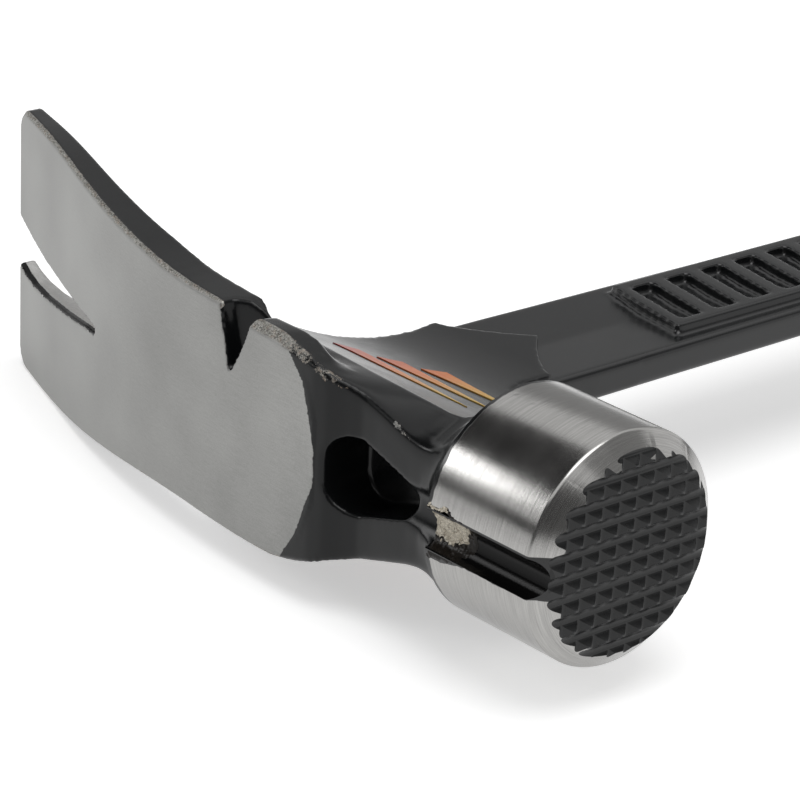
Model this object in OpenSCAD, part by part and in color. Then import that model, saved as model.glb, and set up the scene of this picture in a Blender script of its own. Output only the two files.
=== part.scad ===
// Framing hammer: one forging from claw to tang, with a milled striking face,
// a nail starter with a magnet, a side nail puller and a moulded grip.
// The hammer lies on its side: +X points to the striking face, +Y runs from
// the head to the butt and +Z is the side that carries the nail-puller notch.

/* [Overall] */
// Length from the crown side of the poll, beside its groove, to the butt of the grip
overall_length = 406; // [360:1:450]
// Distance from the middle of the shank to the striking face
poll_reach = 61.6; // [56:0.1:70]
// Distance from the middle of the shank to the tips of the claw
claw_reach = 91.3; // [80:0.1:100]

/* [Striking poll] */
// Diameter of the ground poll
poll_d = 35; // [32:0.5:38]
// Length of the poll from its collar to the tips of the milled face
poll_length = 23.6; // [20:0.1:26]
// Length of the chamfer along the poll
chamfer_length = 3.3; // [2.5:0.1:4]
// How far the chamfer runs in towards the axis
chamfer_inset = 3.7; // [3:0.1:4.5]
// Spacing of the pyramids of the milled face
mill_pitch = 3.175; // [2.6:0.025:4]
// Depth of the milled valleys
mill_depth = 1.4; // [1:0.1:1.8]
// Width of a valley's flat floor
mill_floor_w = 0.9; // [0.5:0.1:1.1]
// Width of the flat that is left on a pyramid's tip
mill_tip_w = 0.35; // [0.2:0.05:0.5]

/* [Nail starter] */
// Width of the groove that holds the nail's shank
groove_w = 6.2; // [5:0.1:7]
// Depth of the groove below the side of the poll
groove_depth = 2.6; // [2:0.1:3.2]
// Distance from the middle of the shank to the pocket
pocket_start = 14.3; // [13.5:0.1:16]
// Length of the pocket that takes the nail's head
pocket_length = 16.6; // [13:0.1:18]
// Width of the pocket at its claw end
pocket_w = 11.6; // [9:0.1:13]
// Width of the pocket at its poll end
pocket_end_w = 7; // [6.6:0.1:8]
// Depth of the pocket below the crown
pocket_depth = 9.5; // [6:0.1:11]
// Radius of the pocket's corners at its claw end
pocket_corner_r = 4.4; // [1:0.1:4.5]
// Depth of the channel from the pocket to the groove, below the neck's crown side
channel_depth = 1.2; // [0.8:0.1:1.8]
// Distance from the poll's collar to the magnet's bed
magnet_inset = 0.6; // [0.3:0.1:2]
// Distance from the middle of the groove to the middle of the magnet
magnet_offset = 1; // [0:0.1:1]
// Length of the magnet along the poll
magnet_length = 5.6; // [4.5:0.1:8]
// Width of the magnet
magnet_w = 3.2; // [2:0.1:3.2]
// Thickness of the magnet
magnet_t = 2.6; // [2:0.1:3.5]
// Width of the bed of adhesive all round the magnet
adhesive_w = 0.4; // [0.3:0.05:0.4]

/* [Claw] */
// Distance from the poll's axis to the crown
crown_height = 16.7; // [15:0.1:17.4]
// Distance from the middle of the shank to where the claw starts to bend
bend_start = 8; // [0:0.5:12]
// Radius of the claw's bend
bend_r = 220; // [170:5:260]
// Angle at which the bend ends and the claw runs straight to its tips, in degrees
bend_stop = 19; // [16:0.5:22]
// Thickness of the claw at its root
claw_root_t = 6.6; // [6:0.1:8]
// Thickness of the claw at its tips
claw_tip_t = 3.2; // [2.4:0.1:4]
// Distance from the middle of the shank to where the claw starts to thin
thin_start = 35; // [24:0.5:40]
// Width of the claw at its root
claw_root_w = 35.6; // [33:0.2:38]
// Width of the claw at its tips
claw_tip_w = 46; // [42:0.5:50]
// Distance from the middle of the shank to where the claw starts to widen
flare_start = 17; // [15:0.5:24]
// Distance from the middle of the shank to where the claw has its full width
flare_stop = 80.5; // [70:0.5:84]
// Radius of the tips' outer corners
tip_corner_r = 4; // [2:0.5:6]
// Length of the nail slot
slot_length = 40; // [34:0.5:46]
// Width of the slot between the tips
slot_mouth_w = 8.6; // [7:0.1:9.5]
// Greatest distance of the slot's middle line from the claw's middle, away from the notch
slot_shift = 2.3; // [0:0.1:2.6]
// Width of the slot at its root
slot_root_w = 1.2; // [1:0.1:2]

/* [Side nail puller] */
// Depth of the notch in from the claw's edge
notch_depth = 10.7; // [8:0.1:12]
// Width of the notch at the edge
notch_w = 8; // [6:0.1:9]
// Distance of the notch's root past the middle of the shank
notch_offset = 7.6; // [6.5:0.1:8.6]
// Distance from the crown to the ramp that lifts the notch's root
notch_ramp_start = 3.3; // [2.6:0.1:4]
// Width of the notch at the claw's back
notch_back_w = 7.5; // [6:0.1:7.9]
// Depth of the notch at the claw's back, in from the edge
notch_back_depth = 3.2; // [2.4:0.1:5]

/* [Neck and cheeks] */
// Distance from the poll's axis to the neck's crown side
neck_crown_height = 13.8; // [13:0.1:15]
// Half width of the neck's crown side where it meets the poll's collar
neck_half_w = 8.7; // [8:0.1:11]
// Distance from the poll's axis to the neck's handle side
neck_under_height = 13.5; // [12:0.1:15]
// Distance from the poll's axis to the ridge where the cheeks start
ridge_height = 7; // [6:0.1:8]
// Half thickness of the head at that ridge, beside the claw
cheek_half_t = 13.3; // [12:0.1:14]
// Half thickness of the head at that ridge, beside the poll
neck_half_t = 11.8; // [11:0.1:13]
// Half thickness of the cheeks beside the shank
pad_half_t = 4; // [3.4:0.1:5]
// Distance from the poll's axis to where the hollow of the cheeks runs out
hollow_end = 30; // [27:0.5:32]
// Distance from the poll's axis to the shoulders of the cheeks' pointed end
cheek_shoulder = 29.5; // [27:0.1:31]
// Distance from the poll's axis to the pointed end of the cheeks
cheek_end = 39.3; // [37:0.1:43]
// Width of the head behind the claw, across the cheeks
waist_w = 21.6; // [19:0.2:24]
// Radius between the cheeks and the claw's back
claw_fillet_r = 14; // [10:0.5:18]
// Radius between the cheeks and the neck's handle side
neck_fillet_r = 13; // [10:0.5:14]

/* [Shank] */
// Width of the shank at the head
shank_w = 27.2; // [24:0.2:30]
// Width of the shank where it enters the grip
shank_end_w = 22; // [19:0.2:25]
// Thickness of the shank at its edges
shank_t = 5.2; // [4.6:0.1:6]
// Depth of the shallow valley down each face
valley_depth = 0.6; // [0.3:0.1:1]
// Width of the bevel along each edge
shank_bevel = 0.6; // [0.4:0.1:1]
// Length of the raised plate
plate_length = 66; // [50:1:80]
// Width of the raised plate
plate_w = 19.6; // [16:0.2:21]
// Height of the raised plate over the shank's edges
plate_height = 1.5; // [1:0.1:2.4]
// Distance from the poll's axis to the raised plate
plate_start = 60.5; // [50:0.5:70]
// Slant of the plate's ends and bars, in degrees
plate_slant = 12; // [0:1:18]
// Width of the plate's border
border_w = 2.6; // [2:0.1:3]
// Number of bars across the plate
bar_count = 7; // [4:1:8]
// Width of a bar along the shank
bar_w = 3.2; // [2:0.1:4]

/* [Grip] */
// Length of the grip
grip_length = 152; // [130:1:165]
// Greatest width of the grip's palm swell
grip_w = 36; // [32:0.5:40]
// Greatest thickness of the grip's palm swell
grip_t = 27; // [24:0.5:30]
// Thickness of the grip's outer sleeve
sleeve_t = 3; // [2:0.1:4]
// Width of the tang inside the grip
tang_w = 17; // [14:0.5:18]
// Distance that the tang stops short of the core's end
tang_stop = 8; // [5:0.5:14]
// Thickness of the sleeve's closed end
sleeve_end_t = 5; // [3:0.5:7]
// Width of a rib groove round the palm swell
rib_groove_w = 1.8; // [1.2:0.1:2.2]
// Depth of a rib groove
rib_groove_depth = 1.1; // [0.6:0.1:1.4]
// Number of rib grooves
rib_count = 12; // [6:1:14]

/* [Cheek stripes] */
// Thickness of the printed film
film_t = 0.15; // [0.1:0.05:0.3]
// Distance from the middle of the shank to the stripes' blunt ends, towards the claw
stripe_start = 4; // [2:0.5:6]
// Distance from the middle of the shank to the stripes' points
stripe_reach = 24; // [18:0.5:26]
// Distance from the poll's axis to the first stripe
stripe_top = 0.6; // [0:0.1:3]
// Width of a stripe at its blunt end
stripe_w = 3.6; // [2:0.1:4]
// Gap between stripes
stripe_gap = 1.1; // [0.5:0.1:1.6]
// Number of stripes on each cheek
stripe_count = 3; // [1:1:3]

/* [Hidden] */
$fn = 72;
overrun = 2;
split_clear = 1;

poll_r = poll_d / 2;
head_top = sqrt(poll_r * poll_r - groove_w * groove_w / 4);
poll_start = poll_reach - poll_length;
claw_split = shank_w / 2 + split_clear;
grip_start = overall_length - head_top - grip_length;

arc_steps = 10;
curve_steps = 24;

// Moves a hammer drawn about the poll's axis to the part's own origin
module place()
    translate([(claw_reach - poll_reach) / 2,
               head_top - overall_length / 2,
               claw_tip_w / 2])
        children();

function mix(a, b, share) = a + (b - a) * share;
function smooth(share) = let (s = max(0, min(1, share))) s * s * (3 - 2 * s);
function run(a, b, steps) = [for (i = [1:steps]) mix(a, b, i / steps)];
function arc(centre, r, from, to, steps = arc_steps) =
    [for (i = [0:steps]) let (a = mix(from, to, i / steps))
        centre + r * [cos(a), sin(a)]];
function mirrored(points) =
    concat(points, [for (i = [len(points) - 1:-1:0]) [points[i][0], -points[i][1]]]);
function at_x(x, points) = [for (p = points) [x, p[0], p[1]]];

// A solid through a list of rings that all have as many points, closed by a fan at each end
function middle(ring) = [for (point = ring) 1] * ring / len(ring);

module loft(rings) {
    n = len(rings[0]);
    last = len(rings) - 1;
    first_middle = (last + 1) * n;
    sides = [for (k = [0:last - 1], i = [0:n - 1])
        let (j = (i + 1) % n)
        each [[k * n + i, k * n + j, (k + 1) * n + j],
              [k * n + i, (k + 1) * n + j, (k + 1) * n + i]]];
    caps = [for (i = [0:n - 1])
        let (j = (i + 1) % n)
        each [[first_middle, j, i], [first_middle + 1, last * n + i, last * n + j]]];
    polyhedron([for (ring = rings) each ring, middle(rings[0]), middle(rings[last])],
               concat(sides, caps), convexity = 6);
}

// Extrusions of a drawing in the XZ, YZ or XY plane
module along_y(from, to) translate([0, to, 0]) rotate([90, 0, 0]) linear_extrude(to - from) children();
module along_x(from, to) translate([from, 0, 0]) rotate([90, 0, 90]) linear_extrude(to - from) children();
module along_z(half) translate([0, 0, -half]) linear_extrude(2 * half) children();

// Claw: a plate that bends away from the crown and then runs straight

bend_stop_x = bend_start - bend_r * sin(bend_stop);
function bend_angle(x) = asin(min(sin(bend_stop), max(0, bend_start - x) / bend_r));
function crown_y(x) =
    -crown_height + bend_r * (1 - cos(bend_angle(x))) + tan(bend_stop) * max(0, bend_stop_x - x);
function claw_t(x) =
    mix(claw_root_t, claw_tip_t, max(0, -thin_start - x) / (claw_reach - thin_start));
function claw_back(x) =
    [x + claw_t(x) * sin(bend_angle(x)), crown_y(x) + claw_t(x) * cos(bend_angle(x))];
function claw_half_w(x) =
    mix(claw_root_w, claw_tip_w, smooth((-flare_start - x) / (flare_stop - flare_start))) / 2;

// The claw seen from the side, past both of its ends
module claw_profile() {
    steps = [for (i = [0:curve_steps]) mix(overrun, -claw_reach - overrun, i / curve_steps)];
    polygon(concat([for (x = steps) [x, crown_y(x)]],
                   [for (i = [curve_steps:-1:0]) claw_back(steps[i])]));
}

// The claw seen from the crown
module claw_outline() {
    tip = -claw_reach;
    corner = [tip + tip_corner_r, claw_tip_w / 2 - tip_corner_r];
    steps = [for (i = [0:curve_steps]) mix(tip + tip_corner_r, -claw_split, i / curve_steps)];
    half = concat(arc(corner, tip_corner_r, 180, 90), [for (x = steps) [x, claw_half_w(x)]]);
    polygon(mirrored(half));
}

// Each row: place along the nail slot, and the shares of its width between the tips
// and of the shift of its middle line
slot_shares = [[0.000, 1.00, 0.22],
               [0.090, 0.98, 0.55],
               [0.200, 0.90, 0.83],
               [0.370, 0.73, 1.00],
               [0.625, 0.48, 0.90],
               [0.880, 0.23, 0.68]];

function slot_side(side) =
    [for (row = slot_shares)
        [row[0] * slot_length - claw_reach, side * row[1] * slot_mouth_w / 2 - row[2] * slot_shift]];

module nail_slot() {
    near = slot_side(1);
    far = slot_side(-1);
    last = len(slot_shares) - 1;
    r = slot_root_w / 2;
    root = [slot_length - r - claw_reach, (near[last][1] + far[last][1]) / 2];
    along_y(-crown_height - overrun, cheek_end)
        polygon(concat([near[0] - [overrun, 0]], near, arc(root, r, 90, -90),
                       [for (i = [last:-1:0]) far[i]], [far[0] - [overrun, 0]]));
}

// Cheeks: their hollow thins the head from the ridge to the flat beside the shank

hollow_rise = cheek_half_t - pad_half_t;
hollow_run = hollow_end + ridge_height;
hollow_r = (hollow_run * hollow_run + hollow_rise * hollow_rise) / (2 * hollow_rise);
hollow_angle = asin(hollow_run / hollow_r);
function ridge_z(x) = mix(cheek_half_t, neck_half_t, max(0, x) / poll_start);
function hollow_z(x, y) =
    let (full = hollow_r - sqrt(hollow_r * hollow_r - pow(hollow_end - y, 2)))
    pad_half_t + full * (ridge_z(x) - pad_half_t) / hollow_rise;
function hollow_half(x, lift) =
    concat([for (i = [0:curve_steps]) let (y = mix(-ridge_height, hollow_end, i / curve_steps))
               [y, hollow_z(x, y) + lift]],
           [[cheek_end + overrun, pad_half_t + lift]]);

// The top of the cheeks slopes inwards, out of sight inside the crown
root_share = 0.3;
function cheek_ring(x, lift) =
    let (root = root_share * ridge_z(x))
    at_x(x, mirrored(concat([[-ridge_height - root, ridge_z(x) - root]], hollow_half(x, lift))));

module cheek_sides(lift)
    loft([cheek_ring(-claw_split, lift), cheek_ring(0, lift), cheek_ring(poll_start, lift)]);

// The cheeks seen from the side, with a pointed end on the shank
wing_power_share = 1.4;
flare_power_share = 2;
function wing(side, share) =
    [side * shank_w / 2 * (1 - share), mix(cheek_shoulder, cheek_end, pow(share, wing_power_share))];

cheek_top = overrun / 2 + claw_root_t / 2 - crown_height;

module cheek_plan() {
    claw_centre = [-waist_w / 2 - claw_fillet_r,
                   claw_back(-waist_w / 2 - claw_fillet_r)[1] + claw_fillet_r];
    neck_centre = [shank_w / 2 + neck_fillet_r, neck_under_height + neck_fillet_r];
    steps = [0:arc_steps - 1];
    polygon(concat(
        arc(neck_centre, neck_fillet_r, -90, -180),
        [for (i = steps) wing(1, i / arc_steps)],
        [for (i = steps) wing(-1, 1 - i / arc_steps)],
        [for (i = steps) let (share = 1 - i / arc_steps)
            [-mix(waist_w, shank_w, pow(share, flare_power_share)) / 2,
             mix(claw_centre[1], cheek_shoulder, share)]],
        arc(claw_centre, claw_fillet_r, 0, -90),
        [[claw_centre[0], cheek_top],
         [poll_start, cheek_top],
         [poll_start, neck_under_height]]));
}

// The part of the cheeks that fillets into the claw's back
module claw_root()
    intersection() {
        along_x(-claw_reach, -claw_split)
            polygon(mirrored(concat([[cheek_top, cheek_half_t]], hollow_half(-claw_split, 0))));
        along_z(claw_root_w) cheek_plan();
    }

// Crown and neck: rings that run from the claw's section to the poll's round collar

notch_lean_share = 1 / 3;
neck_start = notch_w * (1 - notch_lean_share) - notch_offset;
ridge_inset = 0.1;
crown_steps = 6;
lip_steps = 2;
side_steps = 9;
under_steps = 4;

// Each row: place along the neck, and the shares of the claw's lip that is left,
// of the narrowing of the crown, of its drop and of the roundness of the collar
neck_shares = [[0.000, 0.48, 0.00, 0.00, 0.00],
               [0.080, 0.50, 0.00, 0.00, 0.00],
               [0.150, 0.56, 0.02, 0.00, 0.00],
               [0.220, 0.60, 0.08, 0.00, 0.00],
               [0.290, 0.40, 0.15, 0.00, 0.00],
               [0.355, 0.12, 0.24, 0.03, 0.00],
               [0.420, 0.00, 0.33, 0.20, 0.00],
               [0.485, 0.00, 0.42, 0.65, 0.00],
               [0.550, 0.00, 0.53, 0.95, 0.00],
               [0.620, 0.00, 0.63, 1.00, 0.00],
               [0.720, 0.00, 0.78, 1.00, 0.00],
               [0.800, 0.00, 0.90, 1.00, 0.00],
               [0.870, 0.00, 0.98, 1.00, 0.06],
               [0.930, 0.00, 1.00, 1.00, 0.25],
               [0.970, 0.00, 1.00, 1.00, 0.58],
               [1.000, 0.00, 1.00, 1.00, 1.00]];

// Half of a section of the head, from its crown round to its handle side
function head_half(x, depth, lip, narrowing, drop, roundness) =
    let (crown = mix(crown_y(x), -neck_crown_height, drop),
         edge = [crown, mix(claw_root_w / 2, neck_half_w, narrowing)],
         ridge = [ridge_inset - ridge_height, ridge_z(x) - ridge_inset],
         back = crown_y(x) + claw_root_t / cos(bend_angle(x)),
         lip_corner = mix(mix(edge, ridge, 1 / 3), [back, edge[1]], lip),
         lip_root = mix(mix(edge, ridge, 2 / 3), [back, ridge[1]], lip),
         under_y = mix(ridge[0] + split_clear, neck_under_height - split_clear, depth),
         under = [under_y, ridge[1] - (under_y - ridge[0]) * tan(hollow_angle)],
         half = concat(
             [for (i = [0:crown_steps - 1]) [crown, edge[1] * (i + 1 / 2) / crown_steps]],
             [edge],
             run(edge, lip_corner, lip_steps),
             run(lip_corner, lip_root, lip_steps),
             run(lip_root, ridge, lip_steps),
             run(ridge, under, side_steps),
             [for (i = [0:under_steps - 1]) [under_y, under[1] * (1 - (i + 1 / 2) / under_steps)]]),
         n = len(half))
    [for (i = [0:n - 1]) let (a = 180 * (i + 1 / 2) / n)
        mix(half[i], poll_r * [-cos(a), sin(a)], roundness)];

module crown_and_neck() {
    claw_rows = [[-claw_split, 0, 1, 0, 0, 0],
                 [-waist_w / 2, 0, 1, 0, 0, 0],
                 [overrun - waist_w / 2, 1, 1, 0, 0, 0]];
    neck_rows = [for (row = neck_shares)
        [mix(neck_start, poll_start, row[0]), 1, row[1], row[2], row[3], row[4]]];
    loft([for (row = concat(claw_rows, neck_rows))
        at_x(row[0], mirrored(head_half(row[0], row[1], row[2], row[3], row[4], row[5])))]);
}

// One ring of the notch: its root, and its two sides carried past the claw's edge
function notch_ring(y, root, near, far) =
    let (grow = (near[1] - root[1] + overrun) / (near[1] - root[1]))
    [for (point = [root, root + grow * (near - root), root + grow * (far - root)])
        [point[0], y, point[1]]];

// The ramp lifts the notch's root, so at the claw's back only a shallow nick is left
notch_past_share = 1.06;

module side_notch() {
    edge = claw_root_w / 2;
    root = [-notch_offset, edge - notch_depth];
    near = [neck_start, edge];
    far = [-notch_offset - notch_w * notch_lean_share, edge];
    back_root = mix(near, root, notch_back_depth / notch_depth);
    back_far = [neck_start - notch_back_w, edge];
    ramp_y = notch_ramp_start - crown_height;
    loft([notch_ring(-crown_height - overrun, root, near, far),
          notch_ring(ramp_y, root, near, far),
          notch_ring(mix(ramp_y, claw_root_t - crown_height, notch_past_share),
                     mix(root, back_root, notch_past_share), near,
                     mix(far, back_far, notch_past_share))]);
}

pocket_full_share = 1 / 3;
pocket_end_angle = 60;

module pocket() {
    end_r = pocket_end_w / 2;
    half = [each arc([pocket_start + pocket_corner_r, pocket_w / 2 - pocket_corner_r],
                     pocket_corner_r, 180, 90),
            [pocket_start + pocket_length * pocket_full_share, pocket_w / 2],
            each arc([pocket_start + pocket_length - end_r, 0], end_r, pocket_end_angle, 0)];
    along_y(-crown_height - overrun, pocket_depth - crown_height) polygon(mirrored(half));
}

// The groove's floor is round, so it cradles the nail
module starter_groove(from, to) {
    floor_y = groove_depth - poll_r;
    r = groove_w / 2;
    translate([from, floor_y - r, 0]) rotate([0, 90, 0]) cylinder(r = r, h = to - from);
    translate([from, -poll_r - r, -r]) cube([to - from, poll_r + floor_y, groove_w]);
}

// A shallow round channel that leads the nail from the pocket to the groove
channel_start_share = 3 / 4;

module lead_channel() {
    r = (groove_w * groove_w / 4 + channel_depth * channel_depth) / (2 * channel_depth);
    from = pocket_start + pocket_length * channel_start_share;
    translate([from, channel_depth - neck_crown_height - r, 0]) rotate([0, 90, 0])
        cylinder(r = r, h = poll_start + overrun - from);
}

module claw() {
    color("#8d8e8c") place() difference() {
        union() {
            intersection() {
                along_z(claw_tip_w) claw_profile();
                along_y(-crown_height - overrun, claw_reach) claw_outline();
            }
            claw_root();
        }
        nail_slot();
    }
}

module head_body() {
    color("#2a2b2d") place() difference() {
        union() {
            crown_and_neck();
            intersection() {
                cheek_sides(0);
                along_z(claw_root_w) cheek_plan();
            }
        }
        side_notch();
        pocket();
        lead_channel();
        shank_blank();
    }
}

// Striking poll

mill_rows = ceil(poll_r / mill_pitch) + 1;
mill_phase_share = 0.32;

module mill_valley() {
    top_half = (mill_pitch - mill_tip_w) / 2;
    bottom_half = mill_floor_w / 2;
    slope = (top_half - bottom_half) / mill_depth;
    rise = mill_depth + mill_tip_w / 2;
    polygon([[-mill_depth, -bottom_half], [rise - mill_depth, -bottom_half - slope * rise],
             [rise - mill_depth, bottom_half + slope * rise], [-mill_depth, bottom_half]]);
}

module milled_valleys()
    for (i = [-mill_rows:mill_rows - 1]) {
        step = (i + 1 / 2) * mill_pitch;
        shift = mill_phase_share * mill_pitch;
        translate([poll_reach, 0, step + shift]) rotate([90, 0, 0])
            linear_extrude(2 * poll_d, center = true) mill_valley();
        translate([poll_reach, step - shift, 0])
            linear_extrude(2 * poll_d, center = true) mill_valley();
    }

magnet_start = poll_start + magnet_inset;
magnet_top_y = groove_depth - poll_r;

module magnet_block(grow) {
    translate([magnet_start + adhesive_w - grow, magnet_top_y, magnet_offset - magnet_w / 2 - grow])
        cube([magnet_length + 2 * grow, magnet_t + grow, magnet_w + 2 * grow]);
}

// The round floor rises beside the magnet's bed, so the bed is opened upwards
module magnet_opening()
    translate([magnet_start, -poll_r - overrun, magnet_offset - magnet_w / 2 - adhesive_w])
        cube([magnet_length + 2 * adhesive_w, magnet_top_y + poll_r + overrun, magnet_w + 2 * adhesive_w]);

module striking_poll() {
    straight = poll_length - chamfer_length;
    color("#b4b5b3") place() difference() {
        translate([poll_start, 0, 0]) rotate([0, 90, 0]) union() {
            cylinder(r = poll_r, h = straight);
            translate([0, 0, straight])
                cylinder(r1 = poll_r, r2 = poll_r - chamfer_inset, h = chamfer_length);
        }
        milled_valleys();
        starter_groove(poll_start - overrun, poll_reach + overrun);
        magnet_block(adhesive_w);
        magnet_opening();
    }
}

module starter_magnet() {
    color("#a59c8a") place() magnet_block(0);
}

module magnet_adhesive() {
    color("#3a3733") place() difference() {
        magnet_block(adhesive_w);
        magnet_block(0);
    }
}

// Shank

shank_start = neck_under_height + neck_fillet_r / 2;
shank_taper_share = 0.35;

// The shank's section at one width, from one edge round to the other. The valley
// gets shallower as the shank narrows, so each face of the shank stays flat.
function shank_ring(y, width) =
    let (w = width / 2, e = shank_t / 2 - shank_bevel, t = shank_t / 2, b = shank_bevel,
         v = t - valley_depth * (w - b) / (shank_w / 2 - b))
    [[w, y, -e], [w, y, e], [w - b, y, t], [0, y, v], [b - w, y, t],
     [-w, y, e], [-w, y, -e], [b - w, y, -t], [0, y, -v], [w - b, y, -t]];

module shank_blank()
    loft([shank_ring(shank_start, shank_w),
          shank_ring(cheek_end, shank_w),
          shank_ring(plate_start + plate_length, mix(shank_w, shank_end_w, shank_taper_share)),
          shank_ring(grip_start, shank_end_w)]);

module plate_shape(inset, from, to) {
    half = plate_w / 2 - inset;
    lean = half * tan(plate_slant);
    polygon([[-half, from + lean], [half, from - lean], [half, to - lean], [-half, to + lean]]);
}

module plate_drawing() {
    first = plate_start + plate_w / 2 * tan(plate_slant);
    last = first + plate_length;
    inner_first = first + border_w;
    inner_last = last - border_w;
    gap = (inner_last - inner_first - bar_count * bar_w) / (bar_count + 1);
    difference() {
        plate_shape(0, first, last);
        difference() {
            plate_shape(border_w, inner_first, inner_last);
            for (i = [0:bar_count - 1]) {
                from = inner_first + gap + i * (gap + bar_w);
                plate_shape(border_w / 2, from, from + bar_w);
            }
        }
    }
}

module shank() {
    color("#2f3032") place() {
        shank_blank();
        along_z(shank_t / 2 + plate_height) plate_drawing();
    }
}

// Tang and grip

tang_end = overall_length - head_top - sleeve_end_t - tang_stop;
tang_t = shank_t - 2 * valley_depth;

module tang() {
    color("#6f7072") place()
        translate([-tang_w / 2, grip_start, -tang_t / 2])
            cube([tang_w, tang_end - grip_start, tang_t]);
}

// Each row: place along the grip, width, thickness and sideways shift of the
// middle, as shares of the grip's length, width, thickness and width
grip_shares = [[0.000, 0.86, 0.82, 0.00], [0.030, 0.92, 0.88, 0.00], [0.070, 0.90, 0.86, 0.00],
               [0.130, 0.83, 0.82, 0.00], [0.220, 0.84, 0.86, 0.00], [0.340, 0.92, 0.94, 0.00],
               [0.460, 0.99, 1.00, 0.00], [0.560, 1.00, 1.00, 0.00], [0.680, 0.95, 0.96, 0.00],
               [0.780, 0.90, 0.92, 0.01], [0.860, 0.94, 0.94, 0.03], [0.930, 1.07, 1.02, 0.06],
               [0.970, 1.12, 1.06, 0.07], [0.990, 1.08, 1.02, 0.07], [1.000, 0.98, 0.92, 0.07]];
grip_corner_power_share = 2.5;
grip_ring_points = 40;

function grip_ring(y, half_w, half_t, shift) =
    [for (i = [0:grip_ring_points - 1])
        let (a = 360 * i / grip_ring_points, c = cos(a), s = sin(a))
        [shift + half_w * sign(c) * pow(abs(c), 2 / grip_corner_power_share), y,
         half_t * sign(s) * pow(abs(s), 2 / grip_corner_power_share)]];

function grip_row_at(share) =
    let (above = [for (i = [1:len(grip_shares) - 1]) if (grip_shares[i][0] >= share) i][0],
         a = grip_shares[above - 1],
         b = grip_shares[above])
    mix(a, b, (share - a[0]) / (b[0] - a[0]));

// A ring at a share of the grip's length, with its surface drawn in by inset
function grip_ring_at(share, length, inset) =
    let (row = grip_row_at(share))
    grip_ring(grip_start + share * length, row[1] * grip_w / 2 - inset,
              row[2] * grip_t / 2 - inset, row[3] * grip_w);

module core_shape()
    loft([for (row = grip_shares) grip_ring_at(row[0], grip_length - sleeve_end_t, sleeve_t)]);

// The sleeve's outside, with rib grooves round the palm swell
rib_first_share = 0.30;
rib_last_share = 0.74;
rib_wall_share = 1 / 3;

module sleeve_shape() {
    half = rib_groove_w / 2 / grip_length;
    wall = rib_groove_depth * rib_wall_share / grip_length;
    grooves = [for (i = [0:rib_count - 1])
        let (at = mix(rib_first_share, rib_last_share, i / (rib_count - 1)))
        each [[at - half, 0], [at - half + wall, rib_groove_depth],
              [at + half - wall, rib_groove_depth], [at + half, 0]]];
    before = [for (row = grip_shares) if (row[0] < rib_first_share - 2 * half) [row[0], 0]];
    after = [for (row = grip_shares) if (row[0] > rib_last_share + 2 * half) [row[0], 0]];
    loft([for (cut = concat(before, grooves, after)) grip_ring_at(cut[0], grip_length, cut[1])]);
}

module tang_space()
    translate([-tang_w / 2, grip_start - overrun, -tang_t / 2])
        cube([tang_w, tang_end - grip_start + overrun, tang_t]);

module grip_core() {
    color("#55565a") place() difference() {
        core_shape();
        tang_space();
    }
}

module grip_sleeve() {
    color("#1d1e20") place() difference() {
        sleeve_shape();
        core_shape();
    }
}

// Printed stripes: thin films that follow the hollow of the cheeks

module stripe_drawing()
    for (i = [0:stripe_count - 1]) {
        from = i * (stripe_w + stripe_gap) - stripe_start;
        y = stripe_top + i * (stripe_w + stripe_gap);
        polygon([[from, y], [stripe_reach, y + stripe_w / 2], [from + stripe_w / 2, y + stripe_w]]);
    }

module stripes()
    color("#c8742c") place() intersection() {
        difference() {
            cheek_sides(film_t);
            cheek_sides(0);
        }
        linear_extrude(cheek_half_t + overrun) stripe_drawing();
    }

module notch_side_stripes() stripes();

module plain_side_stripes()
    translate([0, 0, claw_tip_w]) mirror([0, 0, 1]) stripes();

claw();
head_body();
striking_poll();
shank();
tang();
starter_magnet();
magnet_adhesive();
grip_core();
grip_sleeve();
notch_side_stripes();
plain_side_stripes();
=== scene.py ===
# %% [markdown]
# # A framing hammer
#
# This lesson dresses the solid model of a framing hammer for its picture. The real
# tool is a single steel forging, from the claw to the tang inside its grip. It was
# dipped in black enamel, and then its crown and its poll were ground bright. The
# solids already have the right sizes, so each step below copies a solid or rebuilds
# it in the same place, and adds what forging, grinding, milling and use leave on it.

import math

import bmesh
import bpy
from mathutils import Matrix, Vector, noise


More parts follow.
